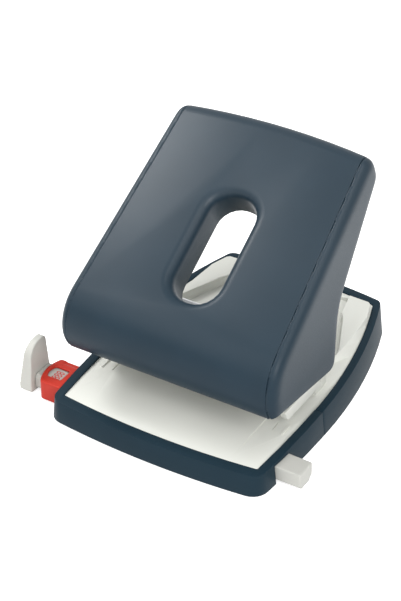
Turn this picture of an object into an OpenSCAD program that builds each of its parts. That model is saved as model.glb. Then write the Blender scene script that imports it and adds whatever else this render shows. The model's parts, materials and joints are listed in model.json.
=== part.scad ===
// Two-hole desk punch with a pivoting press handle, a sliding paper guide and a pull-out chip tray.
// Frame: +X to the right, +Y to the back, +Z up, millimetres.
// The origin lies on the desk, midway between the two punches.

/* [Base] */
// Half width of the base at its widest place
base_half = 66.5; // [62:0.1:70]
// Distance from the line of holes to the middle of the front edge
base_front = 66; // [60:0.5:70]
// Distance from the line of holes to the middle of the rear edge
base_rear = 104.5; // [98:0.5:110]
// Radius of the bowed front edge
front_bow = 480; // [350:5:700]
// Radius of the bowed rear edge
rear_bow = 325; // [250:5:500]
// Radius of the sides in front of the widest place
side_bow_front = 620; // [500:5:900]
// Radius of the sides behind the widest place
side_bow_rear = 290; // [260:5:400]
// Corner radius at the front
corner_front = 5.8; // [5:0.1:8]
// Corner radius at the rear
corner_rear = 5.6; // [5:0.1:8]
// Growth of the base towards the desk, as a share of its size
draft = 0.026; // [0.01:0.001:0.04]
// Height of the rim over the line of holes
rim_height = 15.6; // [15:0.1:16.5]
// Rise of the rim and deck towards the rear
deck_tilt = 2.5; // [2:0.1:3]
// Width of the rim at the sides
rim_side = 4.4; // [4:0.1:5]
// Width of the rim at the front and rear
rim_ends = 5.7; // [5:0.1:6.5]
// Wall of the base frame and tray
wall = 2; // [1.6:0.1:2.4]
// Place of the seam between base frame and chip tray
seam_y = -1; // [-3:0.1:1]
// Thickness of the floors
floor_t = 1.4; // [1:0.1:2]
// Height of the anti-slip feet
foot_h = 0.6; // [0.5:0.1:1]

/* [Deck] */
// Step of the deck below the rim
deck_drop = 0.6; // [0.3:0.1:1]
// Thickness of the moulded deck
deck_t = 2.2; // [2:0.1:2.4]
// Half width of the raised paper table
table_half = 43; // [42:0.1:45]
// Fall of the side ramps beside the paper table
ramp_depth = 1.6; // [0.5:0.1:1.7]
// Height of the raised wings of the rear deck
wing_h = 3.7; // [1:0.1:4]
// Depth of the sunk middle of the rear deck
well_depth = 2; // [1:0.1:2.6]
// Thickness of the steel base plate
plate_t = 1.5; // [1.2:0.1:2]

/* [Punching] */
// Distance between the two holes that it punches
hole_pitch = 80; // [79.5:0.1:80.5]
// Diameter of the punches
punch_d = 5.5; // [5:0.1:6]
// Distance from the line of holes to the paper stop
margin = 11.5; // [11:0.1:12.5]
// Height of the paper slot's upper edge above the desk
slot_top = 20; // [19:0.1:20.5]
// Thickness of the die plate
die_t = 1.8; // [1.5:0.1:2]
// Height of the bridge that guides the punches
bridge_h = 11.4; // [9:0.1:12]
// Free space between a round moving part and its bore, on the radius
run_gap = 0.05; // [0.02:0.01:0.09]
// Diameter of the wire of the return springs
wire_d = 0.9; // [0.7:0.05:1]
// Turns of each return spring
spring_turns = 6; // [5:1:7]
// Mean diameter of the return springs
spring_d = 7; // [6.8:0.05:7.2]

/* [Handle] */
// Height of the handle pivot above the desk
pivot_z = 52.8; // [52:0.1:54]
// Distance of the handle pivot in front of the line of holes
pivot_arm = 27; // [26:0.1:28]
// Diameter of the pivot pin
pivot_d = 6; // [5:0.1:7]
// Radius of the round nose of the handle
nose_r = 24.4; // [24:0.1:25]
// Angle of the raised handle
handle_angle = 32.7; // [31:0.1:34]
// Length of the flat top of the handle at its sides
handle_len = 112; // [108:0.1:113]
// Radius of the bowed rear edge of the handle
handle_bow = 445; // [300:5:900]
// Radius of the rolled rear edge of the handle
roll_r = 8; // [7:0.1:9]
// Half width between the two seams at the nose
seam_half = 59; // [58.8:0.1:59.5]
// Turn of each side towards the middle
handle_taper = 2.9; // [2.5:0.1:3.2]
// Bulge of each cheek outside the seam
cheek_out = 5.3; // [4.5:0.1:6]
// Wall of the handle mouldings
shell = 2; // [1.6:0.1:2.2]
// Half width of the finger hole
hole_half = 13.5; // [12:0.1:15]
// Start of the finger hole along the handle
hole_start = 13; // [12:0.1:15]
// End of the finger hole along the handle
hole_end = 76.5; // [70:0.1:78]
// Corner radius of the finger hole
hole_r = 12.5; // [10:0.1:13]
// Rounding of the finger hole's upper edge
flare = 6; // [4:0.1:7]
// Depth of the handle box that the finger hole goes through
handle_depth = 20; // [18:0.1:20]
// Thickness of the steel lever
lever_t = 2; // [1.5:0.1:2]
// Diameter of the press bar
bar_d = 6; // [5:0.1:6]

/* [Paper guide] */
// Front face of the guide bar
guide_front = -48; // [-49:0.1:-47]
// Width of the guide bar
guide_w = 13; // [12:0.1:13.5]
// Bottom of the guide bar's wide part above the desk
guide_z = 2.9; // [2.6:0.1:3.2]
// Top of the guide bar above the desk
guide_top = 11.3; // [11:0.1:11.5]
// Reach of the red guide sleeve past the base
sleeve_out = 14.8; // [13:0.1:16]
// Distance between the sleeve and the guide's stop
stop_out = 3.4; // [3:0.1:6]
// Reach of the bar's free end past the base
bar_out = 15.6; // [13:0.1:18]
// Height of the guide's stop
stop_h = 31; // [28:0.5:35]
// Thickness of the guide's stop at its foot
stop_t = 7.8; // [6:0.1:8]

/* [Hidden] */
$fn = 48;
fit = 0.15;            // gap between mouldings that lie beside each other
gap = 0.3;             // gap between parts that move past each other
big = 400;             // larger than the object

// ---- colours ----
dark = [0.14, 0.20, 0.25];
dark_soft = [0.24, 0.28, 0.34];
light = [0.83, 0.83, 0.79];
steel = [0.70, 0.71, 0.72];
rubber = [0.10, 0.11, 0.12];
red = [0.80, 0.22, 0.15];
white = [0.87, 0.87, 0.84];

// ---- places worked out from the sizes above ----
deck_rise = tan(deck_tilt);
function deck_z(y) = rim_height - deck_drop + deck_rise * y;
stop_y = margin;
pivot_y = -pivot_arm;
punch_x = hole_pitch / 2;
bridge_top = slot_top + bridge_h;
head_top = pivot_z - bar_d / 2 - gap;
head_t = 2.2;
collar_t = 0.8;
tip_z = slot_top + 0.5;
housing_half = seam_half - 3.5;
housing_wall = 2;
housing_in = housing_half - housing_wall;
housing_rear = 24;
lever_x = housing_in - 0.4;
taper = tan(handle_taper);
sleeve_x = base_half + sleeve_out;
stop_x = sleeve_x + stop_out;
guide_right = base_half + bar_out;
screw_r = 1.5;
screw_head_r = 2.6;
screw_sides = 12;
start = [pivot_y - nose_r * sin(handle_angle), pivot_z + nose_r * cos(handle_angle)];
// a place t along the handle's flat top and n above it, in Y and Z
function slab(t, n) = [start[0] + t * cos(handle_angle) - n * sin(handle_angle),
                       start[1] + t * sin(handle_angle) + n * cos(handle_angle)];

// ---- plane drawing helpers ----
function direction(p, c) = atan2(p[1] - c[1], p[0] - c[0]);
function arc(c, r, a0, a1, n) = [for (i = [0:n]) let(a = a0 + (a1 - a0) * i / n) c + r * [cos(a), sin(a)]];
function meet(c1, r1, c2, r2) = let(d = norm(c2 - c1), a = (r1 * r1 - r2 * r2 + d * d) / (2 * d),
  h = sqrt(r1 * r1 - a * a), u = (c2 - c1) / d) c1 + a * u + h * [-u[1], u[0]];
function unit(v) = v / norm(v);
// points of a round corner at p between the directions to a and b
function corner(a, p, b, r, n) = let(u = unit(a - p), v = unit(b - p), half = acos(u * v) / 2,
  c = p + unit(u + v) * r / sin(half), s = p + u * r / tan(half) - c, e = p + v * r / tan(half) - c,
  turn = 180 - 2 * half) [for (i = [0:n]) c + (s * sin(turn * (1 - i / n)) + e * sin(turn * i / n))
    / sin(turn)];
// the same outline moved inwards by d; the points run clockwise
function inset(p, d) = let(m = len(p)) [for (i = [0:m - 1])
  let(u = unit(p[i] - p[(i + m - 1) % m]), v = unit(p[(i + 1) % m] - p[i]),
      a = [u[1], -u[0]], b = [v[1], -v[0]]) p[i] + d * (a + b) / (1 + a * b)];
function backwards(list) = [for (i = [len(list) - 1:-1:0]) list[i]];
// closed solid through rings with the same number of points; split makes each side face two triangles
module loft(rings, split = false) {
  m = len(rings[0]);
  sides = [for (j = [0:len(rings) - 2]) for (i = [0:m - 1]) let(k = (i + 1) % m, a = j * m, b = (j + 1) * m)
    each split ? [[a + i, a + k, b + k], [a + i, b + k, b + i]] : [[a + i, a + k, b + k, b + i]]];
  first = [for (i = [m - 1:-1:0]) i];
  last = [for (i = [0:m - 1]) (len(rings) - 1) * m + i];
  polyhedron([for (r = rings) each r], concat(sides, [first, last]));
}
module mirrored() {
  children();
  mirror([1, 0, 0]) children();
}
module along_x(x0, x1) {
  // turns a drawing in Y and Z into a prism along X
  translate([x0, 0, 0]) rotate([90, 0, 90]) linear_extrude(x1 - x0) children();
}
module plan_box(x0, x1, y0, y1, z0, z1) {
  translate([x0, y0, z0]) cube([x1 - x0, y1 - y0, z1 - z0]);
}

// ---- outline of the base: bowed front, sides and rear, joined by round corners ----
wide_y = 2;
front_c = [0, front_bow - base_front];
rear_c = [0, base_rear - rear_bow];
side_f = [base_half - side_bow_front, wide_y];
side_r = [base_half - side_bow_rear, wide_y];
function right_side(d, e, rounder = 0) = let(rf = front_bow - e, rr = rear_bow - e, sf = side_bow_front - d,
  sr = side_bow_rear - d, kf = max(0.8, corner_front - e + rounder), kr = max(0.8, corner_rear - e + rounder),
  cf = meet(front_c, rf - kf, side_f, sf - kf), cr = meet(side_r, sr - kr, rear_c, rr - kr)) concat(
  arc(front_c, rf, -90, direction(cf, front_c), 8),
  arc(cf, kf, direction(cf, front_c), direction(cf, side_f), 6),
  arc(side_f, sf, direction(cf, side_f), 0, 3),
  arc(side_r, sr, 2, direction(cr, side_r), 8),
  arc(cr, kr, direction(cr, side_r), direction(cr, rear_c), 6),
  arc(rear_c, rr, direction(cr, rear_c), 90, 6));
function whole_outline(half) = concat(half, [for (i = [len(half) - 2:-1:1]) [-half[i][0], half[i][1]]]);
module outline(d, e) {
  polygon(whole_outline(right_side(d, e)));
}
// Everything between two heights measured from the sloping top of the rim
module sloped(top, bottom) {
  rotate([deck_tilt, 0, 0]) translate([-big / 2, -big / 2, rim_height + bottom])
    cube([big, big, top - bottom]);
}
module layer(d, e, top, bottom) {
  intersection() {
    linear_extrude(60) outline(d, e);
    sloped(top, bottom);
  }
}
// The outer wall widens towards the desk, and its corners grow rounder
drafted_h = 34;
corner_growth = 3.6;
function drafted_ring(z, size, rounder) = backwards([for (p = whole_outline(right_side(0, 0, rounder)))
  [size * p[0], 19 + size * (p[1] - 19), z]]);
module drafted() {
  loft([drafted_ring(0, 1 + draft, corner_growth), drafted_ring(drafted_h, 1 - draft, -corner_growth)], true);
}
// Hollow dark wall with a thick rim, shared by the base frame and the chip tray
ledge = 1.5;
module pan(loose) {
  difference() {
    intersection() {
      drafted();
      sloped(0, -50);
      translate([0, 0, foot_h]) linear_extrude(50) square(big, center = true);
    }
    intersection() {
      translate([0, 0, foot_h + floor_t]) linear_extrude(60) outline(wall, wall);
      sloped(-deck_drop - deck_t - loose - 1.6, -50);
    }
    layer(rim_side + ledge, rim_ends + ledge, 1, -deck_drop - deck_t - 5);
    layer(rim_side - loose / 2, rim_ends - loose / 2, 1, -deck_drop - deck_t - loose);
  }
}

// ================= base =================
tray_front = -8.5;            // front edge of the tray's floor under the dies
channel_gap = 0.35;
tray_half = base_half - 5.5;
pillar_x = housing_in - 6.5;
pillar_y = -20;
pillar_r = 4;
sleeve_back = base_half - 5.9; // inner face of the sleeve's flange
function plate_low(y, r) = deck_z(y) - deck_t - plate_t - deck_rise * r - 0.02;
module guide_tunnel(g) {
  plan_box(-big / 2, big / 2, guide_front - g, guide_front + guide_w + g, guide_z - g, guide_top + g);
  plan_box(-big / 2, big / 2, guide_front + 2 - g, guide_front + guide_w - 2 + g, -1, guide_z);
}
module sleeve_seat(g) {
  plan_box(-big / 2, -sleeve_back + g, sleeve_y0 - g, sleeve_y1 + g, -1, sleeve_z1 + g);
}
sleeve_y0 = guide_front - 4.8;
sleeve_y1 = guide_front + guide_w + 4.5;
sleeve_z0 = 0.9;
sleeve_z1 = 10.4;
sleeve_top = 13;
module base_frame() {
  color(dark) difference() {
    union() {
      difference() {
        intersection() {
          pan(0);
          plan_box(-big / 2, big / 2, -big / 2, seam_y, 0, 60);
        }
        plan_box(-tray_half - 1, tray_half + 1, tray_front, seam_y + 1, 0, foot_h + floor_t + 0.2);
        // notch of the bar's free end in the right wall
        plan_box(tray_half, big / 2, guide_front - 0.5, guide_front + guide_w + 0.5, -1, guide_top + 0.3);
      }
      mirrored() translate([pillar_x, pillar_y, foot_h]) cylinder(r = pillar_r,
        h = plate_low(pillar_y, pillar_r) - foot_h);
      for (y = [guide_front - channel_gap - 1.8, guide_front + guide_w + channel_gap])
        plan_box(3 - tray_half, tray_half - 3, y, y + 1.8, foot_h + floor_t / 2, guide_top - 1.5);
    }
    guide_tunnel(channel_gap);
    sleeve_seat(fit);
    mirrored() translate([pillar_x, pillar_y, -1]) cylinder(r = screw_r + run_gap, $fn = screw_sides, h = 20);
    mirrored() translate([pillar_x, pillar_y, -1]) cylinder(r = screw_head_r + 0.3, h = foot_h + 2.6);
  }
}

// right half of the sunk middle of the rear deck, seen from above
well = concat([[50, 31]], corner([50, 31], [50, 46], [38.5, 73], 6, 3),
  corner([50, 46], [38.5, 73], [35.4, 77], 3, 2), corner([38.5, 73], [35.4, 77], [31.8, 94], 3, 2),
    [[31.8, 94]]);
// wing of the rear deck: its foot on the deck and its flat top, beside the well, seen from above
wing_foot = [[50.6, 36], [57.2, 50], [54.9, 64], [50.5, 81.5], [47, 92], [45, 94.9], [32, 96.6],
  [32, 94.2], [35.6, 77.2], [38.7, 73.2], [50.2, 46]];
wing_top = [[51.6, 41], [52.2, 50], [51.8, 64], [50.3, 81.5], [46.8, 92], [45, 93.4], [33, 93.8],
  [33, 93.4], [36.4, 77.6], [39.5, 73.7], [51, 47]];
module well_plan(grow) {
  full = concat(well, backwards([for (p = well) [-p[0], p[1]]]));
  polygon(inset(backwards(full), -grow));
}
module on_deck() {
  rotate([deck_tilt, 0, 0]) translate([0, 0, rim_height - deck_drop]) children();
}
bridge_screw_x = 26;
bridge_screw_y = 17.5;
// fall of the side ramps, from the front over the punch unit to the rear deck, in Y and Z
function ramp_line(lift) = [[-55, lift], [2, lift - ramp_depth], [18, lift - ramp_depth], [29, lift]];
module deck() {
  color(light) difference() {
    union() {
      layer(rim_side + fit, rim_ends + fit, -deck_drop, -deck_drop - deck_t);
      intersection() {
        linear_extrude(60) well_plan(1.4);
        sloped(-deck_drop - 1, -deck_drop - well_depth - 1.6);
      }
      mirrored() on_deck() loft([backwards([for (p = wing_foot) [p[0], p[1], -0.5]]),
        backwards([for (p = wing_top) [p[0], p[1], wing_h]])], true);
    }
    // side ramps fall away from the paper table towards the punch unit
    mirrored() on_deck() along_x(table_half, 90) polygon(concat(ramp_line(0), [[29, 5], [-55, 5]]));
    intersection() {
      linear_extrude(60) well_plan(0);
      sloped(2, -deck_drop - well_depth);
    }
    // seat of the die plate
    plan_box(-die_half - fit, die_half + fit, die_front - fit, die_back + fit, deck_z(die_back) - die_t, 40);
    guide_tunnel(gap);
    mirrored() translate([punch_x, 0, 0]) cylinder(r = punch_d / 2 + 1.2, h = 30);
    mirrored() translate([pillar_x, pillar_y, 0]) cylinder(r = screw_r + run_gap, $fn = screw_sides, h = deck_z(pillar_y) - 1.2);
    mirrored() translate([bridge_screw_x, bridge_screw_y, 0]) cylinder(r = screw_r + run_gap, $fn = screw_sides, h = 30);
    // fine line beside each ramp
    mirrored() on_deck() plan_box(49.4, 50, -24, -17, -2, 1);
  }
  color(light) mirrored() on_deck() plan_box(55.6, 56.6, -25, -17.5, -1.6, -0.1);
}
die_half = 47;
die_front = -8;
die_back = 9;
module base_plate() {
  color(steel) difference() {
    intersection() {
      plan_box(-52, 52, guide_front + guide_w + 3, 28, 0, 60);
      sloped(-deck_drop - deck_t, -deck_drop - deck_t - plate_t);
    }
    mirrored() translate([punch_x, 0, 0]) cylinder(r = punch_d / 2 + 1.2, h = 30);
    mirrored() translate([pillar_x, pillar_y, 0]) cylinder(r = screw_r + run_gap, $fn = screw_sides, h = 30);
    mirrored() translate([bridge_screw_x, bridge_screw_y, 0]) cylinder(r = screw_r + run_gap, $fn = screw_sides, h = 30);
    for (x = [-20, 0, 20]) plan_box(x - 6, x + 6, -22, -12, 0, 30);
  }
}
module die_plate() {
  color(steel) difference() {
    plan_box(-die_half, die_half, die_front, die_back, deck_z(die_back) - die_t, deck_z(die_front) - 0.05);
    mirrored() translate([punch_x, 0, 0]) cylinder(r = punch_d / 2 + run_gap, h = 30);
  }
}

// ================= punch unit =================
boss_r = 8;
foot_out = seam_half - 1.8;   // outer face of the housing's foot plates
mouth_y = -10;                // front of the housing's curved mouth
mouth_r = 6.5;
boss_c = [pivot_y, pivot_z];
side_line = concat(arc(boss_c, boss_r, 235, 70, 10),
  corner([-22, 60], [21, 45], [housing_rear, 30], 4, 4), [[housing_rear, 5], [stop_y, 5]],
  [[stop_y, slot_top - 1.2], [stop_y - 1.2, slot_top]],
  arc([mouth_y + mouth_r, slot_top + mouth_r], mouth_r, 270, 180, 6));
module punch_housing() {
  color(light) difference() {
    union() {
      mirrored() difference() {
        union() {
          along_x(housing_in, housing_half) polygon(side_line);
          // foot plate in front of the side wall, above the sides of the slot
          along_x(housing_in, foot_out) polygon(concat([[-25, 27]],
            corner([-25, 27], [-21.4, slot_top], [13, slot_top], 2.5, 4), [[13, slot_top], [13, 27]]));
        }
        on_deck() along_x(40, 80) polygon(concat(ramp_line(0.02), [[29, -12], [-55, -12]]));
      }
      // curved front wall above the mouth of the slot
      along_x(-housing_in - 1, housing_in + 1) polygon(concat(
        arc([mouth_y + mouth_r, slot_top + mouth_r], mouth_r, 180, 255, 5),
        arc([mouth_y + mouth_r, slot_top + mouth_r], mouth_r - 1.8, 255, 180, 5),
        [[mouth_y + 1.8, 35], [mouth_y, 36]]));
      // rear wall
      difference() {
        plan_box(-housing_in - 1, housing_in + 1, housing_rear - 1.8, housing_rear, 10, 30);
        on_deck() plan_box(-60, 60, 0, 60, -20, 0.02);
      }
    }
    translate([-big / 2, pivot_y, pivot_z]) rotate([0, 90, 0]) cylinder(r = pivot_d / 2 + 0.02, h = big);
    mirrored() translate([housing_in - 1, stop_y + 4, slot_top]) rotate([0, 90, 0]) cylinder(r = 1.6, h = 5);
  }
}
bridge_half = housing_in - 0.1;
bridge_front = -4.5;
module guide_bridge() {
  color(steel) difference() {
    along_x(-bridge_half, bridge_half) polygon([[bridge_front, slot_top], [stop_y, slot_top],
      [stop_y, 10], [housing_rear - 2, 10], [housing_rear - 2, slot_top + 4], [9, bridge_top],
        [bridge_front, bridge_top]]);
    on_deck() plan_box(-60, 60, 0, 60, -20, 0.02);
    mirrored() translate([punch_x, 0, 0]) cylinder(r = punch_d / 2 + run_gap, h = 60);
    mirrored() translate([bridge_screw_x, bridge_screw_y, 0]) cylinder(r = screw_r + 0.02, $fn = screw_sides, h = slot_top);
    for (x = [-24, 0, 24]) plan_box(x - 9, x + 9, -2.8, 5, slot_top + 2.4, 60);
  }
}
module paper_stop() {
  // dark strip that the paper's edge meets at the end of the slot
  color(dark) difference() {
    plan_box(-housing_in + 2, housing_in - 2, stop_y - 1.2, stop_y - 0.02, 10, slot_top - 0.1);
    on_deck() plan_box(-60, 60, 0, 60, -20, 0.05);
  }
}
pin_half = housing_half + 1.6;
module pivot_pin() {
  color(steel) difference() {
    translate([-pin_half, pivot_y, pivot_z]) rotate([0, 90, 0]) cylinder(r = pivot_d / 2, h = 2 * pin_half);
    mirrored() translate([housing_half + 0.1, pivot_y, pivot_z]) rotate([0, 90, 0]) difference() {
      cylinder(r = pivot_d, h = 0.8);
      translate([0, 0, -1]) cylinder(r = pivot_d / 2 - 0.6, h = 3);
    }
  }
}
module pivot_clips() {
  color(steel) mirrored() translate([housing_half + 0.15, pivot_y, pivot_z]) rotate([0, 90, 0]) difference() {
    cylinder(r = pivot_d / 2 + 1.6, h = 0.7);
    translate([0, 0, -1]) cylinder(r = pivot_d / 2 - 0.55, h = 3);
    translate([-1.2, -10, -1]) cube([2.4, 10, 3]);
  }
}
module screw(length) {
  // cross-recessed pan-head screw, head down
  difference() {
    union() {
      cylinder(r = screw_head_r, h = 1.4, $fn = screw_sides);
      cylinder(r = screw_r, h = length, $fn = screw_sides);
    }
    for (a = [0, 90]) rotate(a) translate([-1.6, -0.3, -0.5]) cube([3.2, 0.6, 1.3]);
  }
}
module plate_screws() {
  color(steel) mirrored() translate([pillar_x, pillar_y, foot_h + 0.2]) screw(deck_z(pillar_y)
    - foot_h - 2.2);
}
module bridge_screws() {
  color(steel) mirrored() translate([bridge_screw_x, bridge_screw_y, plate_low(bridge_screw_y,
    screw_head_r) - 1.4])
    screw(8.6);
}
module front_feet() {
  color(rubber) {
    mirrored() translate([base_half - 13.5, 10 - base_front, 0]) cylinder(r = 4, h = foot_h);
    mirrored() translate([base_half - 11.5, -15, 0]) cylinder(r = 3.2, h = foot_h);
    plan_box(-26, 26, -15, -11, 0, foot_h);
  }
}

// ================= paper guide =================
module guide_sleeve() {
  end_r = 22;
  color(red) difference() {
    union() {
      difference() {
        // bulging outer end with round corners
        translate([0, 0, sleeve_z0]) linear_extrude(sleeve_top - sleeve_z0) offset(r = 1.8, $fn = 32)
          offset(delta = -1.8) intersection() {
            translate([-sleeve_x - 2, sleeve_y0]) square([34, sleeve_y1 - sleeve_y0]);
            translate([-sleeve_x + end_r, guide_front + 7.5]) circle(r = end_r, $fn = 96);
          }
        // it ends at the base's wall
        translate([0, 19, 0]) linear_extrude(drafted_h, scale = (1 - draft) / (1 + draft))
          scale(1 + draft) translate([0, -19]) offset(delta = 0.1) outline(0, 0);
        // lower strip along the rear of the top
        plan_box(-base_half - 9, -base_half + 10, sleeve_y1 - 3.2, sleeve_y1 + 1, sleeve_top - 0.5, 20);
      }
      plan_box(-base_half - 3.5, -sleeve_back, sleeve_y0, sleeve_y1, sleeve_z0, sleeve_z1);
    }
    guide_tunnel(gap);
    plan_box(-big / 2, big / 2, guide_front + 1.7, guide_front + guide_w - 1.7, -1, guide_z);
    // window over the marks on the bar
    translate([0, 0, guide_top - 1]) linear_extrude(20) intersection() {
      translate([-sleeve_x + 2.4, guide_front + 1.3]) square([10.4, 9.2]);
      translate([-sleeve_x + 10.9, guide_front + 6.6]) circle(r = 8.3, $fn = 64);
    }
  }
}
module guide_spring() {
  // bent steel leaf in the rear rail; its crown rests close to the bar
  y = guide_front + guide_w + 0.04;
  color(steel) translate([0, 0, guide_z + 2]) linear_extrude(4)
    polygon([[-24, y + 0.26], [-4, y + 0.02], [4, y + 0.02], [24, y + 0.26], [24, y + 0.31], [-24,
      y + 0.31]]);
}
module guide_bar() {
  y1 = guide_front + guide_w;
  grip = guide_right - 4.6;
  color(white) difference() {
    union() {
      plan_box(-stop_x, grip + 2, guide_front, y1, guide_z, guide_top);
      plan_box(-stop_x, grip + 2, guide_front + 2, y1 - 2, 0.9, guide_z);
      // rounded grip at the free end, down to the lower rail
      translate([0, 0, 0.9]) linear_extrude(guide_top - 0.9) offset(r = 2.4, $fn = 32)
        translate([grip + 2.4, guide_front + 2.6]) square([guide_right - grip - 4.8, guide_w - 5]);
    }
    // the bar is a channel moulding, open below
    plan_box(-stop_x + 4, grip - 6, guide_front + 3.8, y1 - 3.8, 0, guide_top - 1.8);
    // step along the upper front edge
    plan_box(-stop_x - 1, base_half - 6, guide_front - 1, guide_front + 1, guide_top - 1.2, 20);
    // grooves in the front of the free end
    for (z = [4.9, 7.6]) plan_box(grip - 7, grip - 0.6, guide_front - 1, guide_front + 0.4, z, z + 0.5);
    // marks of the scale under the window
    for (x = [-stop_x + 4.5:1.5:-base_half - 1]) plan_box(x, x + 0.25, guide_front + 2.6,
      guide_front + 4, guide_top - 0.15, 20);
  }
}
module guide_stop() {
  foot_f = [guide_front - 4, foot_h];
  top_f = [guide_front - 2, stop_h];
  top_r = [guide_front + guide_w - 1.2, stop_h];
  foot_r = [guide_front + guide_w + 2.3, foot_h];
  color(white) difference() {
    along_x(-stop_x - stop_t, -stop_x) polygon(concat(corner(foot_r, foot_f, top_f, 1.8, 3),
      corner(foot_f, top_f, top_r, 8.6, 8), corner(top_f, top_r, foot_r, 3.2, 5), corner(top_r, foot_r,
        foot_f, 1, 2)));
    // the outer face leans inwards
    translate([-stop_x - stop_t, 0, 5]) rotate([0, 8.2, 0]) translate([-20, -big / 2, 0]) cube([20,
      big, big]);
  }
}

// ================= chip tray =================
tray_gap = 0.35;
module chip_tray() {
  y0 = tray_front + tray_gap;
  color(dark) {
    intersection() {
      pan(gap);
      plan_box(-big / 2, big / 2, seam_y + tray_gap, big / 2, 0, 60);
    }
    // tongue of the floor that reaches under the dies
    plan_box(-tray_half, tray_half, y0, seam_y + 3, foot_h, foot_h + floor_t);
    plan_box(-tray_half, tray_half, y0, y0 + 1.4, foot_h, 9.6);
    mirrored() plan_box(tray_half - 1.4, tray_half, y0, seam_y + 8, foot_h, 9.6);
  }
}
module tray_feet() {
  color(rubber) mirrored() {
    translate([base_half - 12.5, 22, 0]) cylinder(r = 4.5, h = foot_h);
    translate([base_half - 24.5, base_rear - 16.5, 0]) cylinder(r = 4.5, h = foot_h);
    translate([0, -4, 0]) cube([24, 8, foot_h]);
  }
}

// ================= handle =================
lip_angle = 214.6;            // where the nose ends under the front, seen along the pivot
roll_end = -7.6;              // turn of the rear face against the flat top
// outer line from the lip over the nose and a flat top of this length to the rear edge
function top_line(length) = concat(arc([pivot_y, pivot_z], nose_r, lip_angle, 90 + handle_angle, 12),
  arc(slab(length, -roll_r), roll_r, 90 + handle_angle, handle_angle + roll_end, 7));
function rear_end(length) = slab(length + 6.5, -19.4);
handle_line = top_line(handle_len);
rear_low = rear_end(handle_len);
// moves a plan drawn along the handle onto its sloping top
module on_slab() {
  translate([0, start[0], start[1]]) rotate([handle_angle, 0, 0]) children();
}
hole_steps = 6;
function hole_ring(grow, n) = let(r = hole_r + grow, a = hole_half + grow - r,
  t0 = hole_start - grow + r, t1 = hole_end + grow - r, q = [[a, t1, 0], [-a, t1, 90], [-a, t0, 180],
    [a, t0, 270]])
  backwards([for (c = q) for (i = [0:hole_steps]) let(w = c[2] + 90 * i / hole_steps)
    [c[0] + r * cos(w), c[1] + r * sin(w), n]]);
module finger_hole(grow, top, bottom) {
  translate([0, 0, bottom]) linear_extrude(top - bottom) polygon([for (p = hole_ring(grow, 0)) [p[0], p[1]]]);
}
// space between the two seams, narrowing along the handle
module between_seams(inset) {
  on_slab() translate([0, 0, -120]) linear_extrude(240) polygon([
    [-seam_half - taper * 60 + inset, -60], [seam_half + taper * 60 - inset, -60],
    [seam_half - taper * 140 - inset, 140], [-seam_half + taper * 140 + inset, 140]]);
}
// closed section of the top's wall at the distance x from the middle; the rear edge is bowed
function top_ring(x) = let(rear_half = seam_half - taper * handle_len,
  length = handle_len + sqrt(pow(handle_bow, 2) - x * x) - sqrt(pow(handle_bow, 2) - pow(rear_half, 2)),
  outer = concat(top_line(length), [rear_end(length)]), n = len(outer)) [for (p = concat(outer,
    backwards([for (i = [0:n - 1]) let(u = unit(outer[min(i + 1, n - 1)] - outer[max(i - 1, 0)]))
      outer[i] + shell * [u[1], -u[0]]]))) [x, p[0], p[1]]];
module handle_top() {
  fine = [for (a = [0:15:90]) a];
  color(dark_soft) difference() {
    union() {
      intersection() {
        loft([for (x = [-66:12:66]) top_ring(x)]);
        between_seams(0.1);
      }
      on_slab() finger_hole(shell + flare, -0.3, -flare - shell);
      on_slab() finger_hole(shell, -flare, -handle_depth);
    }
    on_slab() finger_hole(0, 5, -handle_depth - 5);
    on_slab() loft(concat([for (a = backwards(fine)) hole_ring(flare * (1 - sin(a)), -flare * (1 - cos(a)))],
      [hole_ring(flare + 0.01, 1)]));
  }
}
// side view of a cheek: the handle's line, its slender rear and the deep skirt beside the punch unit
knee = [24.8, 65.7];
skirt_rear = [21.3, 27.2];
lip = handle_line[0];
cheek_line = concat(handle_line, corner(handle_line[len(handle_line) - 1], rear_low, knee, 6, 4),
  corner(rear_low, knee, skirt_rear, 30, 4), corner(knee, skirt_rear, lip, 6.5, 6));
function stood(ring, x) = [for (p = ring) [x, p[0], p[1]]];
function cheek_rings(r, d) = [for (a = [0, 18, 36, 54, 72, 90])
  stood(inset(cheek_line, d + r * (1 - cos(a))), r * sin(a))];
module cheek_place() {
  // stands the cheek on the right seam plane, which turns inwards along the handle
  on_slab() translate([seam_half, 0, 0]) rotate([0, 0, handle_taper]) rotate([-handle_angle, 0, 0])
    translate([0, -start[0], -start[1]]) children();
}
// one closed wall: from the middle of the hollow out to the seam, and round the edge to the outer face
module cheek_solid() {
  cheek_place() loft(concat(backwards(cheek_rings(cheek_out - shell, shell)), cheek_rings(cheek_out, 0)));
}
module cheek_right() {
  color(dark_soft) cheek_solid();
}
module cheek_left() {
  color(dark_soft) mirror([1, 0, 0]) cheek_solid();
}
liner_start = 18;
module handle_liner() {
  h0 = seam_half - 4.4 - taper * liner_start;
  h1 = seam_half - 4.4 - taper * 114;
  color(dark) on_slab() difference() {
    translate([0, 0, -handle_depth]) linear_extrude(1.6)
      polygon([[-h0, liner_start], [h0, liner_start], [h1, 114], [-h1, 114]]);
    finger_hole(shell + fit, 1, -handle_depth - 1);
  }
}
arm_line = concat(arc([pivot_y, pivot_z], 7, 270, 140, 6),
  [slab(18, -handle_depth), slab(58, -handle_depth), slab(60, -handle_depth - 3)],
  arc([0, pivot_z], 6, 20, -90, 6));
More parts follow.
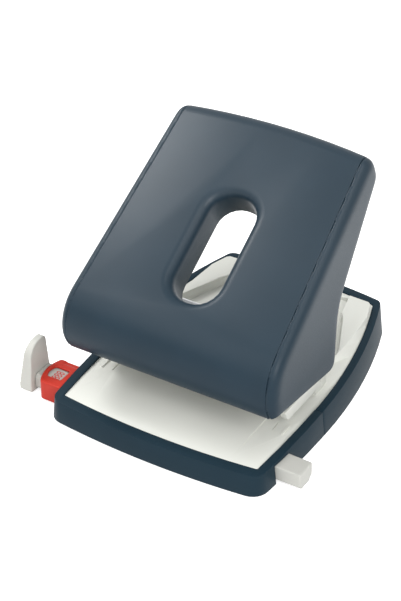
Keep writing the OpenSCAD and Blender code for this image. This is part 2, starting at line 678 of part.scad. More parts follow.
module lever() {
  color(steel) difference() {
    union() {
      mirrored() along_x(lever_x - lever_t, lever_x) polygon(arm_line);
      on_slab() difference() {
        translate([0, 0, -handle_depth - lever_t]) linear_extrude(lever_t) polygon([[-lever_x, liner_start],
          [lever_x, liner_start], [lever_x, 58], [lever_x - 9, 92], [9 - lever_x, 92], [-lever_x, 58]]);
        finger_hole(shell + 1, 1, -30);
      }
    }
    translate([-big / 2, pivot_y, pivot_z]) rotate([0, 90, 0]) cylinder(r = pivot_d / 2 + run_gap, h = big);
    translate([-big / 2, 0, pivot_z]) rotate([0, 90, 0]) cylinder(r = bar_d / 2 + 0.02, h = big);
    mirrored() on_slab() translate([34, 40, -40]) cylinder(r = screw_r + 0.02, $fn = screw_sides, h = 30);
  }
}
module press_bar() {
  color(steel) translate([-lever_x, 0, pivot_z]) rotate([0, 90, 0]) cylinder(r = bar_d / 2, h = 2 * lever_x);
}
module lever_screws() {
  color(steel) mirrored() on_slab() translate([34, 40, -handle_depth - lever_t - 1.4]) screw(1.4 + lever_t);
}

// ================= punches =================
module punch(x) {
  color(steel) translate([x, 0, 0]) difference() {
    union() {
      translate([0, 0, tip_z]) cylinder(r = punch_d / 2, h = head_top - head_t - tip_z + 0.5);
      translate([0, 0, head_top - head_t]) cylinder(r = 4, h = head_t);
    }
    // hollow-ground tip that cuts from its rim inwards
    translate([0, 0, tip_z - 0.01]) cylinder(r1 = punch_d / 2 - 0.3, r2 = 0.5, h = 1);
  }
}
module punch_collar(x) {
  // washer under the head, the seat of the spring
  color(steel) translate([x, 0, head_top - head_t - collar_t]) difference() {
    cylinder(r = 4.4, h = collar_t);
    translate([0, 0, -1]) cylinder(r = punch_d / 2 + 0.02, h = 3);
  }
}
module punch_left() { punch(-punch_x); }
module punch_right() { punch(punch_x); }
module punch_collar_left() { punch_collar(-punch_x); }
module punch_collar_right() { punch_collar(punch_x); }

// Coil spring as one unbroken tube: 8 rings a turn, 6 sides
ring_steps = 8;
spring_low = bridge_top + wire_d / 2 + 0.02;
spring_high = head_top - head_t - collar_t - wire_d / 2 - 0.05;
spring_n = ring_steps * spring_turns;
function spring_height(i) = let(u = i / spring_n, e = 1 / spring_turns, flat = 0.07)
  u < e ? flat * (u / e) : u > 1 - e ? 1 - flat * ((1 - u) / e) : flat + (1 - 2 * flat) * (u - e)
    / (1 - 2 * e);
function spring_centre(i) = let(a = 360 * i / ring_steps)
  [spring_d / 2 * cos(a), spring_d / 2 * sin(a), spring_low + (spring_high - spring_low) * spring_height(i)];
function spring_ring(i) = let(a = 360 * i / ring_steps, c = spring_centre(i)) [for (k = [0:5])
  c + wire_d / 2 * [cos(a) * cos(60 * k), sin(a) * cos(60 * k), sin(60 * k)]];
module spring(x) {
  points = [for (i = [0:spring_n]) each spring_ring(i)];
  sides = [for (i = [0:spring_n - 1]) for (k = [0:5]) let(a = 6 * i + k, b = 6 * i + (k + 1) % 6)
    each [[a, a + 6, b], [b, a + 6, b + 6]]];
  cap_0 = [for (k = [1:4]) [0, k, k + 1]];
  last = 6 * spring_n;
  cap_1 = [for (k = [1:4]) [last, last + k + 1, last + k]];
  color(steel) translate([x, 0, 0]) polyhedron(points, concat(sides, cap_0, cap_1));
}
module punch_spring_left() { spring(-punch_x); }
module punch_spring_right() { spring(punch_x); }
// least gap between neighbouring turns, measured on the tube's own points
spring_gap = min([for (i = [0:spring_n - ring_steps]) norm(spring_centre(i + ring_steps)
  - spring_centre(i))]) - wire_d;
echo(spring_gap = spring_gap);

base_frame();
deck();
base_plate();
die_plate();
punch_housing();
guide_bridge();
paper_stop();
pivot_pin();
pivot_clips();
plate_screws();
bridge_screws();
front_feet();
guide_sleeve();
guide_spring();
chip_tray();
tray_feet();
handle_top();
cheek_left();
cheek_right();
handle_liner();
lever();
press_bar();
lever_screws();
punch_left();
punch_right();
punch_collar_left();
punch_collar_right();
punch_spring_left();
punch_spring_right();
guide_bar();
guide_stop();
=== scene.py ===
"""Looks of the two-hole desk punch: skins, finishes, springs, scale marks, camera and light round the frame."""
import json
import math

import bmesh
import bpy
from bpy.props import FloatProperty, FloatVectorProperty, IntProperty, PointerProperty, StringProperty
from mathutils import Matrix, Vector
from mathutils.bvhtree import BVHTree

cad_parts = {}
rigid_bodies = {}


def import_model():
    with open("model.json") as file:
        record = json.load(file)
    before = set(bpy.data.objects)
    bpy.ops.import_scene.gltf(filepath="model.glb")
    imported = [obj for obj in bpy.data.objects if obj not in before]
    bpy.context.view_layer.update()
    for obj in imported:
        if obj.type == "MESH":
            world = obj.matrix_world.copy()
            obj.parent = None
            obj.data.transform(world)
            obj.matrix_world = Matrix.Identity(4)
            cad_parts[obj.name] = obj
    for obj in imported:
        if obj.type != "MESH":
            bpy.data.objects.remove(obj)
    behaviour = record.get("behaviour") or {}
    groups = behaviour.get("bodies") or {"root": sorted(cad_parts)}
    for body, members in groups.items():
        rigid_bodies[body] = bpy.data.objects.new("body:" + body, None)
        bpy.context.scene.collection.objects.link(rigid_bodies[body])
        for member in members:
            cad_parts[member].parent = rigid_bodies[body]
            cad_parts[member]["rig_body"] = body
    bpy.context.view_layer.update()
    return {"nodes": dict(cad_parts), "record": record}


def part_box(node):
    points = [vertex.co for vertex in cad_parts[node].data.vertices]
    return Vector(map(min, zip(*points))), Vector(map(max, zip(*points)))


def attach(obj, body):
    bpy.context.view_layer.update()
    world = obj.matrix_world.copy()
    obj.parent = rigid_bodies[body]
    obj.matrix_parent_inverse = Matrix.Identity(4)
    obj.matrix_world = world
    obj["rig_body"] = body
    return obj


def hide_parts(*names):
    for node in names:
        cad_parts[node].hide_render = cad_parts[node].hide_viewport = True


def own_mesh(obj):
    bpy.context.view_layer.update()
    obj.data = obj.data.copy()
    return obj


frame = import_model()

bl_info = {
    "name": "Desk Punch Looks",
    "version": (1, 0, 0),
    "blender": (4, 5, 0),
    "location": "View3D > Sidebar > Desk Punch",
    "description": "Builds the visible skins, finishes, springs, marks and stage of a two-hole desk punch",
    "category": "Add Mesh",
}

MM = 0.001

# Cleaning of the CAD triangles: points closer than WELD join, and faces that bend less than FLAT_ANGLE merge
WELD = 0.002 * MM
SLIVER = 0.001 * MM
FLAT_ANGLE = math.radians(0.6)

# Angles in degrees above which an edge is rounded, the deck's shallow creases are, and shading breaks
EDGE_ANGLE = 34
CREASE_ANGLE = 4
SHADE_ANGLE = 32
SOFT_SHADE_ANGLE = 60

# Soft skins: closer than SEAM_KEEP to the neighbour, smoothing has only the weight SEAM_WEIGHT
SEAM_KEEP = 0.8 * MM
SEAM_WEIGHT = 0.02
SMOOTH_FACTOR = 0.6
# Share of the gap that stays where a skin is drawn to its neighbour. A point there is an outer one where the dot
# product of its normal and the neighbour's is above OUTER_POINT.
GAP_LEFT = 0.08
OUTER_POINT = -0.5

# Finishes: scale of the slow drift in colour, where on it the two tints lie, the noise values between which the
# grain changes the roughness by the spread, and the grain's height
DRIFT_SCALE = 38.0
TINTS_AT = (0.35, 0.65)
GRAIN_RANGE = (0.3, 0.7)
ROUGHNESS_SPREAD = 0.05
GRAIN_HEIGHT = 0.05 * MM

# Heights above the desk where the handle's sheen is weakest and where it is full
# The weaker sheen low down is painted shade: it makes the handle's lower parts darker.
SHEEN_LOW = 45 * MM
SHEEN_HIGH = 100 * MM

# Springs: faces along a turn and round the wire
COIL_STEPS = 24
WIRE_STEPS = 12

# The scale's marks, on the top of the guide bar: turn, height above it, places, and shape of number and strokes
MARKS_TURN = Matrix.Rotation(math.radians(90), 4, "Z")
MARKS_LIFT = 0.02 * MM
STROKES_AT = (-69.6 * MM, -45.4 * MM)
NUMBER_AT = (-73.0 * MM, -42.1 * MM)
NUMBER_NARROW = 0.62
NUMBER_DEPTH = 0.03 * MM
STROKE_HEIGHT = 0.08 * MM

# Camera fitted to the photo: place, viewing direction, direction of the picture's rows, and film width in mm
CAMERA_AT = (0.4217, -0.7041, 0.6270)
CAMERA_AHEAD = (-0.4297, 0.7027, -0.5670)
CAMERA_ACROSS = (0.8531, 0.5217, 0)
FILM_WIDTH = 36

# Floor and backdrop, and each lamp's size and place, by the name of its power setting
FLOOR_REACH = 3.0
FLOOR_HEIGHT = -0.2 * MM
FLOOR_SHADE = (0.8, 0.8, 0.8)
FLOOR_GLOW = 0.72
BACKDROP_GLOW = 1.0
WHITE = (1, 1, 1, 1)
LAMPS_AIM = (0, 0.01, 0.05)
LAMPS = {
    "key": (0.9, (-0.50, -0.62, 0.88)),
    "front": (0.9, (0.20, -1.15, 0.50)),
    "left": (0.28, (-0.62, 0.06, 0.66)),
    "right": (0.5, (0.72, -0.42, 0.60)),
    "top": (0.3, (0.30, -0.10, 0.95)),
}


# ---------------------------------------------------------------- colours
def linear(red, green, blue):
    """Scene colour of an 8-bit display colour."""
    def channel(value):
        value /= 255
        return value / 12.92 if value <= 0.04045 else ((value + 0.055) / 1.055) ** 2.4
    return tuple(channel(v) for v in (red, green, blue))


# ---------------------------------------------------------------- settings
def colour(name, description, default):
    """A colour setting."""
    return FloatVectorProperty(name=name, description=description, subtype="COLOR", size=3,
                               min=0, max=1, default=default)


def length(name, description, default):
    """A length setting."""
    return FloatProperty(name=name, description=description, default=default, min=0.0, max=1.0,
                         subtype="DISTANCE", unit="LENGTH", precision=5)


def power(name, description, default):
    """A lamp's power setting."""
    return FloatProperty(name=name, description=description, default=default, unit="POWER")


def count(name, description, default, low, high):
    """A whole number setting."""
    return IntProperty(name=name, description=description, default=default, min=low, max=high)


class PunchFinish(bpy.types.PropertyGroup):
    """Colours of the moulded, painted and metal parts."""
    handle: colour("Handle", "Satin paint of the press handle", linear(30, 46, 57))
    shell: colour("Base", "Moulded plastic of the base and the chip tray", linear(28, 45, 55))
    liner: colour("Liner", "Inside of the handle", linear(36, 54, 66))
    deck: colour("Deck", "Light moulding of the paper table and the punch unit", linear(216, 217, 210))
    guide: colour("Guide", "Off-white moulding of the paper guide", linear(186, 186, 180))
    sleeve: colour("Sleeve", "Red sleeve of the paper guide", linear(186, 50, 36))
    steel: colour("Steel", "Bare steel of the punch unit", linear(196, 198, 200))
    rubber: colour("Rubber", "Anti-slip feet", linear(30, 31, 33))
    ink: colour("Ink", "Printed marks of the guide's scale", linear(200, 44, 34))


class PunchEdges(bpy.types.PropertyGroup):
    """Rounding of the edges, which moulds and presses leave on every part."""
    shell: length("Base edges", "Rounding of the base's and tray's outer edges", 0.9 * MM)
    deck: length("Deck edges", "Rounding of the deck's steps and creases", 0.35 * MM)
    handle: length("Handle edges", "Rounding where the handle's mouldings meet", 0.35 * MM)
    guide_grid: length("Guide grid", "Mesh size of the paper guide, whose corners are soft", 0.4 * MM)
    guide_passes: count("Guide passes", "Smoothing passes over the guide's bar and stop", 10, 1, 200)
    sleeve_passes: count("Sleeve passes", "Smoothing passes over the red sleeve", 5, 1, 200)
    bar_reach: length("Bar reach", "Distance from the base at which the bar is fully soft", 3 * MM)
    stop_reach: length("Stop reach", "Distance from the bar at which the stop is fully soft", 1.5 * MM)
    sleeve_reach: length("Sleeve reach", "Distance from the base at which the sleeve is fully soft", 1 * MM)
    steel: length("Steel edges", "Broken edges of the steel parts", 0.2 * MM)
    cheek_grid: length("Cheek grid", "Mesh size of the cheeks, whose corners are wide soft curves", 0.65 * MM)
    cheek_passes: count("Cheek passes", "Smoothing passes over the cheeks", 60, 1, 200)
    cheek_reach: length("Cheek reach", "Distance from the seam at which the cheeks are fully soft", 4.0 * MM)
    cheek_seat: length("Cheek seat", "Width of the gap to the handle top that the cheeks close", 0.7 * MM)
    cheek_groove: length("Cheek groove", "Depth of the groove along the seam", 0.5 * MM)
    segments: count("Segments", "Faces across each rounded edge of a moulding", 3, 1, 6)
    steel_segments: count("Steel segments", "Faces across each broken edge of a steel part", 2, 1, 6)


class PunchSprings(bpy.types.PropertyGroup):
    """The coil springs that lift the punches."""
    turns: count("Turns", "Turns of each spring", 6, 3, 10)
    radius: length("Radius", "Mean radius of the coil", 3.5 * MM)
    wire: length("Wire", "Radius of the wire", 0.45 * MM)


class PunchScale(bpy.types.PropertyGroup):
    """The printed scale under the red sleeve's window."""
    digits: StringProperty(name="Digits", description="Plain number printed on the scale", default="888")
    size: length("Size", "Height of the digits' line", 7.4 * MM)
    strokes: count("Strokes", "Strokes beside the number", 7, 2, 40)
    pitch: length("Pitch", "Distance between two strokes", 1.0 * MM)
    stroke_length: length("Stroke length", "Length of each stroke", 0.9 * MM)
    stroke_width: length("Stroke width", "Width of each stroke", 0.22 * MM)


class PunchStage(bpy.types.PropertyGroup):
    """Camera, floor and lights."""
    lens: FloatProperty(name="Lens", description="Focal length on a 36 mm wide film", default=170.53,
                        unit="CAMERA")
    key: power("Key light", "Power of the large light at the front left", 4.9)
    front: power("Front light", "Power of the low light in front", 2.5)
    left: power("Left light", "Power of the light on the left", 3.4)
    right: power("Right light", "Power of the light on the right", 5.6)
    top: power("Top light", "Power of the light above", 1.5)
    ambient: FloatProperty(name="Ambient", description="Strength of the surrounding light", default=0.5)


# ---------------------------------------------------------------- materials
class Nodes:
    """Short way to write a shader tree."""
    def __init__(self, name):
        self.material = bpy.data.materials.new(name)
        self.material.use_nodes = True
        self.tree = self.material.node_tree
        self.tree.nodes.clear()

    def add(self, kind, label="", settings=(), **values):
        """A labelled node with its settings, and its inputs set to values or joined to sockets."""
        node = self.tree.nodes.new(kind)
        node.label = label
        for key, value in dict(settings).items():
            setattr(node, key, value)
        for key, value in values.items():
            socket = node.inputs[key.replace("_", " ")]
            if isinstance(value, bpy.types.NodeSocket):
                self.tree.links.new(value, socket)
            else:
                socket.default_value = value
        return node


def surface(name, base, roughness, metallic=0.0, grain=2600.0, bump=0.08, stretch=(1, 1, 1), mottle=0.04,
            specular=0.5, low_specular=None):
    """A finish with fine grain in its height and roughness, and a slow drift in its colour.

    With low_specular the sheen fades from SHEEN_HIGH above the desk down to SHEEN_LOW, as painted shade that
    makes the lower part darker."""
    n = Nodes(name)
    place = n.add("ShaderNodeTexCoord").outputs["Object"]
    turned = n.add("ShaderNodeMapping", "grain direction", Vector=place, Scale=stretch).outputs["Vector"]
    fine = n.add("ShaderNodeTexNoise", "grain", Vector=turned, Scale=grain, Detail=4.0, Roughness=0.55)
    slow = n.add("ShaderNodeTexNoise", "drift", Vector=place, Scale=DRIFT_SCALE, Detail=3.0)
    tint = n.add("ShaderNodeValToRGB", "tint", Fac=slow.outputs["Fac"])
    for stop, at, factor in zip(tint.color_ramp.elements, TINTS_AT, (1 - mottle, 1 + mottle)):
        stop.position = at
        stop.color = tuple(min(1, c * factor) for c in base) + (1,)
    gloss = n.add("ShaderNodeMapRange", "gloss", Value=fine.outputs["Fac"],
                  From_Min=GRAIN_RANGE[0], From_Max=GRAIN_RANGE[1],
                  To_Min=roughness - ROUGHNESS_SPREAD, To_Max=roughness + ROUGHNESS_SPREAD)
    height = n.add("ShaderNodeBump", "relief", Strength=bump, Distance=GRAIN_HEIGHT, Height=fine.outputs["Fac"])
    shader = n.add("ShaderNodeBsdfPrincipled", name, Base_Color=tint.outputs["Color"],
                   Roughness=gloss.outputs["Result"], Normal=height.outputs["Normal"], Metallic=metallic)
    if low_specular is None:
        shader.inputs["Specular IOR Level"].default_value = specular
    else:
        # Painted shade: less sheen nearer the desk darkens the lower part of the handle.
        above = n.add("ShaderNodeSeparateXYZ", "height above the desk", Vector=place)
        fade = n.add("ShaderNodeMapRange", "fading sheen", Value=above.outputs["Z"], From_Min=SHEEN_LOW,
                     From_Max=SHEEN_HIGH, To_Min=low_specular, To_Max=specular)
        n.tree.links.new(fade.outputs["Result"], shader.inputs["Specular IOR Level"])
    n.add("ShaderNodeOutputMaterial", Surface=shader.outputs["BSDF"])
    return n.material


FINISHES = {}
SLOT_OF = {row["node"]: row["material_slot"] for row in frame["record"]["subparts"]}


def finish_for(node):
    """The finish a CAD node has in the record."""
    if node == "handle_liner":
        return FINISHES["liner"]
    return FINISHES[SLOT_OF[node]]


# ---------------------------------------------------------------- meshes
def new_piece(name, mesh, body, material):
    """Puts a mesh in the scene as a piece that rides on a body and has a finish."""
    piece = bpy.data.objects.new(name, mesh)
    bpy.context.scene.collection.objects.link(piece)
    piece.data.materials.clear()
    piece.data.materials.append(material)
    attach(piece, body)
    return piece


def apply_modifiers(piece):
    """Makes the piece's modifiers permanent in its mesh."""
    graph = bpy.context.evaluated_depsgraph_get()
    mesh = bpy.data.meshes.new_from_object(piece.evaluated_get(graph), depsgraph=graph)
    piece.modifiers.clear()
    old, piece.data = piece.data, mesh
    bpy.data.meshes.remove(old)


def shade(mesh, angle=SHADE_ANGLE):
    """Smooth shading with sharp edges above an angle in degrees."""
    for face in mesh.polygons:
        face.use_smooth = True
    mesh.set_sharp_from_angle(angle=math.radians(angle))


def merged_copy(node):
    """A welded copy of a CAD node's triangles, with its flat areas joined into single faces."""
    mesh = frame["nodes"][node].data.copy()
    work = bmesh.new()
    work.from_mesh(mesh)
    bmesh.ops.remove_doubles(work, verts=work.verts, dist=WELD)
    bmesh.ops.dissolve_degenerate(work, edges=work.edges, dist=SLIVER)
    bmesh.ops.dissolve_limit(work, angle_limit=FLAT_ANGLE, verts=work.verts, edges=work.edges)
    work.to_mesh(mesh)
    work.free()
    return mesh


def skin(node, width, segments, angle=EDGE_ANGLE):
    """A skin over a CAD node: its own shape with every edge rounded as a mould or a press leaves it."""
    home = frame["nodes"][node]
    piece = new_piece(node + "_skin", merged_copy(node), home["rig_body"], finish_for(node))
    rounding = piece.modifiers.new("Edge rounding", "BEVEL")
    rounding.width = width
    rounding.segments = segments
    rounding.limit_method = "ANGLE"
    rounding.angle_limit = math.radians(angle)
    rounding.use_clamp_overlap = True
    apply_modifiers(piece)
    shade(piece.data)
    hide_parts(node)


def soft_skin(node, neighbour, grid, passes, reach, seat=0.0, groove=0.0):
    """A skin with wide soft corners, except near a neighbour.

    Points nearer to the neighbour than the seat are drawn onto it, and the outer ones sink by the groove."""
    home = frame["nodes"][node]
    piece = new_piece(node + "_skin", merged_copy(node), home["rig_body"], finish_for(node))
    even = piece.modifiers.new("Even grid", "REMESH")
    even.mode = "VOXEL"
    even.voxel_size = grid
    apply_modifiers(piece)
    seam = merged_copy(neighbour)
    near = BVHTree.FromPolygons([v.co for v in seam.vertices], [f.vertices for f in seam.polygons])
    bpy.data.meshes.remove(seam)
    group = piece.vertex_groups.new(name="Away from the seam")
    for vertex in piece.data.vertices:
        distance = near.find_nearest(vertex.co)[3]
        weight = min(1.0, max(SEAM_WEIGHT, (distance - SEAM_KEEP) / reach))
        group.add([vertex.index], weight, "REPLACE")
    soft = piece.modifiers.new("Wide rounding", "SMOOTH")
    soft.factor = SMOOTH_FACTOR
    soft.iterations = passes
    soft.vertex_group = group.name
    apply_modifiers(piece)
    outward = [vertex.normal.copy() for vertex in piece.data.vertices]
    for vertex, normal in zip(piece.data.vertices, outward):
        place, facing, _, distance = near.find_nearest(vertex.co)
        if distance < seat:
            vertex.co = place.lerp(vertex.co, GAP_LEFT)
            if normal.dot(facing) > OUTER_POINT:
                vertex.co -= normal * groove
    piece.vertex_groups.clear()
    piece.data.materials.clear()
    piece.data.materials.append(finish_for(node))
    shade(piece.data, SOFT_SHADE_ANGLE)
    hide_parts(node)


# ---------------------------------------------------------------- operators
class PUNCH_OT_finishes(bpy.types.Operator):
    """Makes the finishes and gives every CAD node its own"""
    bl_idname = "desk_punch.finishes"
    bl_label = "Finishes"

    def execute(self, context):
        c = context.scene.punch_finish
        FINISHES.update({
            # The handle's sheen fading towards the desk is painted shade on its lower parts.
            "shell_handle": surface("Satin handle paint", c.handle, 0.4, grain=1900, bump=0.08, specular=0.3,
                                    low_specular=0.1),
            "shell_dark": surface("Dark moulded plastic", c.shell, 0.44, bump=0.12, specular=0.07),
            "liner": surface("Inside of handle", c.liner, 0.5, grain=2200, bump=0.15, specular=0.1),
            "deck_light": surface("Light moulded plastic", c.deck, 0.48, grain=2400, bump=0.12, mottle=0.012,
                                  specular=0.3),
            "guide_white": surface("Off-white plastic", c.guide, 0.42, grain=2600, bump=0.08, mottle=0.012,
                                   specular=0.3),
            "guide_red": surface("Red plastic", c.sleeve, 0.34, grain=2600, bump=0.06, specular=0.15),
            "steel": surface("Brushed steel", c.steel, 0.32, metallic=1.0, grain=900, bump=0.25,
                             stretch=(0.05, 1, 1), mottle=0.06),
            "foot_rubber": surface("Black rubber", c.rubber, 0.8, grain=1500, bump=0.3),
            "ink": surface("Printed ink", c.ink, 0.5, grain=3000, bump=0.02, mottle=0.05),
        })
        for name, node in frame["nodes"].items():
            node.data.materials.clear()
            node.data.materials.append(finish_for(name))
        return {"FINISHED"}


class PUNCH_OT_base(bpy.types.Operator):
    """Base frame, chip tray and deck, with rounded rims and steps"""
    bl_idname = "desk_punch.base"
    bl_label = "Base"

    def execute(self, context):
        e = context.scene.punch_edges
        skin("base_frame", e.shell, e.segments)
        skin("chip_tray", e.shell, e.segments)
        skin("deck", e.deck, e.segments, CREASE_ANGLE)
        return {"FINISHED"}


class PUNCH_OT_unit(bpy.types.Operator):
    """Punch unit: housing, bridge, dies, pins and screws"""
    bl_idname = "desk_punch.unit"
    bl_label = "Punch unit"

    def execute(self, context):
        e = context.scene.punch_edges
        skin("punch_housing", e.deck, e.segments)
        for node in ("guide_bridge", "base_plate", "die_plate", "pivot_pin", "pivot_clips", "plate_screws",
                     "bridge_screws", "lever", "press_bar", "lever_screws", "punch_left", "punch_right",
                     "punch_collar_left", "punch_collar_right", "paper_stop"):
            skin(node, e.steel, e.steel_segments)
        return {"FINISHED"}


class PUNCH_OT_handle(bpy.types.Operator):
    """Press handle: top, both cheeks and the inner liner"""
    bl_idname = "desk_punch.handle"
    bl_label = "Handle"

    def execute(self, context):
        e = context.scene.punch_edges
        for node in ("handle_top", "handle_liner"):
            skin(node, e.handle, e.segments)
        for node in ("cheek_left", "cheek_right"):
            soft_skin(node, "handle_top", e.cheek_grid, e.cheek_passes, e.cheek_reach, e.cheek_seat,
                      e.cheek_groove)
        return {"FINISHED"}


class PUNCH_OT_guide(bpy.types.Operator):
    """Paper guide: bar, stop and red sleeve"""
    bl_idname = "desk_punch.guide"
    bl_label = "Paper guide"

    def execute(self, context):
        e = context.scene.punch_edges
        soft_skin("guide_bar", "base_frame", e.guide_grid, e.guide_passes, e.bar_reach)
        soft_skin("guide_stop", "guide_bar", e.guide_grid, e.guide_passes, e.stop_reach)
        soft_skin("guide_sleeve", "base_frame", e.guide_grid, e.sleeve_passes, e.sleeve_reach)
        return {"FINISHED"}


class GeometryTree:
    """Short way to write a geometry tree with named inputs."""
    def __init__(self, name, inputs):
        self.tree = bpy.data.node_groups.new(name, "GeometryNodeTree")
        self.sockets = {}
        for label, kind in inputs:
            socket = self.tree.interface.new_socket(label, in_out="INPUT", socket_type=kind)
            self.sockets[label] = socket.identifier
        self.tree.interface.new_socket("Geometry", in_out="OUTPUT", socket_type="NodeSocketGeometry")
        self.inputs = self.add("NodeGroupInput")
        self.end = self.add("NodeGroupOutput")

    def add(self, kind, **values):
        """A node with its inputs set to values or joined to sockets."""
        node = self.tree.nodes.new(kind)
        for key, value in values.items():
            self.join(value, node.inputs[key.replace("_", " ")])
        return node

    def join(self, value, socket):
        """Gives a socket a value, or a link from another socket."""
        if isinstance(value, bpy.types.NodeSocket):
            self.tree.links.new(value, socket)
        else:
            socket.default_value = value

    def take(self, label):
        """The tree's own input with this label."""
        return self.inputs.outputs[label]

    def finish(self, geometry):
        """Ends the tree in real geometry with its material."""
        real = self.add("GeometryNodeRealizeInstances", Geometry=geometry)
        shown = self.add("GeometryNodeSetMaterial", Geometry=real.outputs[0], Material=self.take("Material"))
        self.join(shown.outputs[0], self.end.inputs[0])

    def run(self, name, values):
        """A plain mesh made by the tree with these input values."""
        carrier = bpy.data.objects.new(name, bpy.data.meshes.new(name))
        bpy.context.scene.collection.objects.link(carrier)
        modifier = carrier.modifiers.new("Build", "NODES")
        modifier.node_group = self.tree
        for label, value in values.items():
            modifier[self.sockets[label]] = value
        graph = bpy.context.evaluated_depsgraph_get()
        mesh = bpy.data.meshes.new_from_object(carrier.evaluated_get(graph), depsgraph=graph)
        carrier.modifiers.clear()
        bpy.data.objects.remove(carrier)
        return mesh


def coil_tree():
    """A coil spring of round wire."""
    t = GeometryTree("Coil spring", [("Turns", "NodeSocketFloat"), ("Radius", "NodeSocketFloat"),
                                     ("Height", "NodeSocketFloat"), ("Wire", "NodeSocketFloat"),
                                     ("Material", "NodeSocketMaterial")])
    line = t.add("GeometryNodeCurveSpiral", Resolution=COIL_STEPS, Rotations=t.take("Turns"),
                 Start_Radius=t.take("Radius"), End_Radius=t.take("Radius"), Height=t.take("Height"))
    ring = t.add("GeometryNodeCurvePrimitiveCircle", Resolution=WIRE_STEPS, Radius=t.take("Wire"))
    tube = t.add("GeometryNodeCurveToMesh", Curve=line.outputs[0], Profile_Curve=ring.outputs[0],
                 Fill_Caps=True)
    smooth = t.add("GeometryNodeSetShadeSmooth", Geometry=tube.outputs[0])
    t.finish(smooth.outputs[0])
    return t


class PUNCH_OT_springs(bpy.types.Operator):
    """Coil springs round the punches"""
    bl_idname = "desk_punch.springs"
    bl_label = "Springs"

    def execute(self, context):
        s = context.scene.punch_springs
        tree = coil_tree()
        for side in ("left", "right"):
            node = "punch_spring_" + side
            low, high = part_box(node)
            height = high.z - low.z - 2 * s.wire
            mesh = tree.run(node, {"Turns": float(s.turns), "Radius": s.radius, "Height": height,
                                   "Wire": s.wire, "Material": FINISHES["steel"]})
            centre = Vector(((low.x + high.x) / 2, (low.y + high.y) / 2, low.z + s.wire))
            mesh.transform(Matrix.Translation(centre))
            piece = new_piece(node + "_coil", mesh, "base", FINISHES["steel"])
            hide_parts(node)
            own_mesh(piece)
        return {"FINISHED"}


def stroke_tree():
    """A row of short printed strokes."""
    t = GeometryTree("Scale strokes", [("Count", "NodeSocketInt"), ("Pitch", "NodeSocketFloat"),
                                       ("Length", "NodeSocketFloat"), ("Width", "NodeSocketFloat"),
                                       ("Material", "NodeSocketMaterial")])
    step = t.add("ShaderNodeCombineXYZ", X=t.take("Pitch"))
    row = t.add("GeometryNodeMeshLine", Count=t.take("Count"), Offset=step.outputs[0])
    size = t.add("ShaderNodeCombineXYZ", X=t.take("Width"), Y=t.take("Length"), Z=STROKE_HEIGHT)
    stroke = t.add("GeometryNodeMeshCube", Size=size.outputs[0])
    copies = t.add("GeometryNodeInstanceOnPoints", Points=row.outputs[0], Instance=stroke.outputs[0])
    t.finish(copies.outputs[0])
    return t


class PUNCH_OT_scale(bpy.types.Operator):
    """Printed scale and number under the sleeve's window"""
    bl_idname = "desk_punch.scale"
    bl_label = "Scale"

    def execute(self, context):
        s = context.scene.punch_scale
        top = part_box("guide_bar")[1].z + MARKS_LIFT
        strokes = stroke_tree().run("scale_strokes", {"Count": s.strokes, "Pitch": s.pitch,
                                                      "Length": s.stroke_length, "Width": s.stroke_width,
                                                      "Material": FINISHES["ink"]})
        strokes.transform(Matrix.Translation((*STROKES_AT, top)) @ MARKS_TURN)
        new_piece("scale_strokes", strokes, "guide", FINISHES["ink"])
        words = bpy.data.curves.new("scale_number", "FONT")
        words.body = s.digits
        words.size = s.size
        words.extrude = NUMBER_DEPTH
        words.align_x, words.align_y = "CENTER", "CENTER"
        writing = bpy.data.objects.new("scale_number", words)
        bpy.context.scene.collection.objects.link(writing)
        graph = bpy.context.evaluated_depsgraph_get()
        mesh = bpy.data.meshes.new_from_object(writing.evaluated_get(graph), depsgraph=graph)
        bpy.data.objects.remove(writing)
        narrow = Matrix.Diagonal((NUMBER_NARROW, 1, 1, 1))
        mesh.transform(Matrix.Translation((*NUMBER_AT, top)) @ MARKS_TURN @ narrow)
        new_piece("scale_number", mesh, "guide", FINISHES["ink"])
        return {"FINISHED"}


def seen_directly(tree):
    """1 for camera, glossy and transmission rays and 0 for the rays that light the object."""
    path = tree.nodes.new("ShaderNodeLightPath")
    total = path.outputs["Is Camera Ray"]
    for ray in ("Is Glossy Ray", "Is Transmission Ray"):
        step = tree.nodes.new("ShaderNodeMath")
        step.operation = "MAXIMUM"
        tree.links.new(total, step.inputs[0])
        tree.links.new(path.outputs[ray], step.inputs[1])
        total = step.outputs[0]
    return total


def pale_floor():
    """A pale surface that camera and mirrors see near white, and that still takes the object's shadow."""
    n = Nodes("Pale floor")
    level = n.add("ShaderNodeMath", settings={"operation": "MULTIPLY"})
    n.tree.links.new(seen_directly(n.tree), level.inputs[0])
    level.inputs[1].default_value = FLOOR_GLOW
    matte = n.add("ShaderNodeBsdfDiffuse", Color=FLOOR_SHADE + (1,))
    glow = n.add("ShaderNodeEmission", Color=WHITE, Strength=level.outputs[0])
    both = n.add("ShaderNodeAddShader")
    n.tree.links.new(matte.outputs[0], both.inputs[0])
    n.tree.links.new(glow.outputs[0], both.inputs[1])
    n.add("ShaderNodeOutputMaterial", Surface=both.outputs[0])
    return n.material


def add_camera(scene, focal_length):
    """The camera that took the photo."""
    lens = bpy.data.cameras.new("Camera")
    lens.sensor_fit = "HORIZONTAL"
    lens.sensor_width = FILM_WIDTH
    lens.lens = focal_length
    camera = bpy.data.objects.new("Camera", lens)
    scene.collection.objects.link(camera)
    ahead = Vector(CAMERA_AHEAD).normalized()
    across = Vector(CAMERA_ACROSS).normalized()
    turn = Matrix((across, across.cross(ahead), -ahead)).transposed()
    camera.matrix_world = Matrix.Translation(CAMERA_AT) @ turn.to_4x4()
    scene.camera = camera


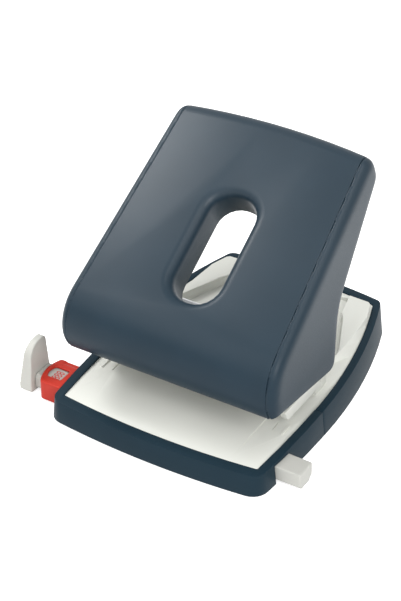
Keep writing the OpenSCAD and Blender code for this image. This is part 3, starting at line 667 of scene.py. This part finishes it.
def add_floor(scene):
    """A large pale desk under the feet."""
    floor = bpy.data.objects.new("floor", bpy.data.meshes.new("floor"))
    scene.collection.objects.link(floor)
    corners = [(x, y, FLOOR_HEIGHT) for x, y in ((-FLOOR_REACH, -FLOOR_REACH), (FLOOR_REACH, -FLOOR_REACH),
                                                 (FLOOR_REACH, FLOOR_REACH), (-FLOOR_REACH, FLOOR_REACH))]
    floor.data.from_pydata(corners, [], [(0, 1, 2, 3)])
    floor.data.materials.append(pale_floor())


def add_backdrop(scene, ambient):
    """Surroundings that camera and mirrors see white, and that light the object at the ambient strength."""
    world = bpy.data.worlds.new("Surroundings")
    scene.world = world
    world.use_nodes = True
    tree = world.node_tree
    tree.nodes.clear()
    mix = tree.nodes.new("ShaderNodeMixShader")
    tree.links.new(seen_directly(tree), mix.inputs[0])
    for socket, strength in ((1, ambient), (2, BACKDROP_GLOW)):
        light = tree.nodes.new("ShaderNodeBackground")
        light.inputs["Color"].default_value = WHITE
        light.inputs["Strength"].default_value = strength
        tree.links.new(light.outputs[0], mix.inputs[socket])
    out = tree.nodes.new("ShaderNodeOutputWorld")
    tree.links.new(mix.outputs[0], out.inputs["Surface"])


def add_lamps(scene, powers):
    """Soft square lamps that all point at the object."""
    for name, (size, place) in LAMPS.items():
        lamp = bpy.data.lights.new(name.capitalize(), "AREA")
        lamp.energy = getattr(powers, name)
        lamp.size = size
        holder = bpy.data.objects.new(name.capitalize(), lamp)
        holder.location = place
        holder.rotation_euler = (Vector(LAMPS_AIM) - Vector(place)).to_track_quat("-Z", "Y").to_euler()
        scene.collection.objects.link(holder)


class PUNCH_OT_stage(bpy.types.Operator):
    """Camera, pale floor and soft light"""
    bl_idname = "desk_punch.stage"
    bl_label = "Stage"

    def execute(self, context):
        s = context.scene.punch_stage
        context.scene.view_settings.view_transform = "Standard"
        add_camera(context.scene, s.lens)
        add_floor(context.scene)
        add_backdrop(context.scene, s.ambient)
        add_lamps(context.scene, s)
        return {"FINISHED"}


class PUNCH_PT_panel(bpy.types.Panel):
    """Lists the steps that build the punch"""
    bl_label = "Desk Punch"
    bl_idname = "PUNCH_PT_panel"
    bl_space_type = "VIEW_3D"
    bl_region_type = "UI"
    bl_category = "Desk Punch"

    def draw(self, context):
        for group in GROUPS:
            box = self.layout.box()
            settings = getattr(context.scene, group)
            for key in settings.bl_rna.properties.keys():
                if key not in ("rna_type", "name"):
                    box.prop(settings, key)
        for step in STEPS:
            self.layout.operator(step.bl_idname)


GROUPS = {"punch_finish": PunchFinish, "punch_edges": PunchEdges, "punch_springs": PunchSprings,
          "punch_scale": PunchScale, "punch_stage": PunchStage}
STEPS = (PUNCH_OT_finishes, PUNCH_OT_base, PUNCH_OT_unit, PUNCH_OT_handle, PUNCH_OT_guide, PUNCH_OT_springs,
         PUNCH_OT_scale, PUNCH_OT_stage)


def register():
    for name, group in GROUPS.items():
        bpy.utils.register_class(group)
        setattr(bpy.types.Scene, name, PointerProperty(type=group))
    for step in STEPS:
        bpy.utils.register_class(step)
    bpy.utils.register_class(PUNCH_PT_panel)


def unregister():
    bpy.utils.unregister_class(PUNCH_PT_panel)
    for step in reversed(STEPS):
        bpy.utils.unregister_class(step)
    for name, group in reversed(list(GROUPS.items())):
        delattr(bpy.types.Scene, name)
        bpy.utils.unregister_class(group)


def main():
    register()
    bpy.ops.desk_punch.finishes()
    bpy.ops.desk_punch.base()
    bpy.ops.desk_punch.unit()
    bpy.ops.desk_punch.handle()
    bpy.ops.desk_punch.guide()
    bpy.ops.desk_punch.springs()
    bpy.ops.desk_punch.scale()
    bpy.ops.desk_punch.stage()


if __name__ == "__main__":
    main()
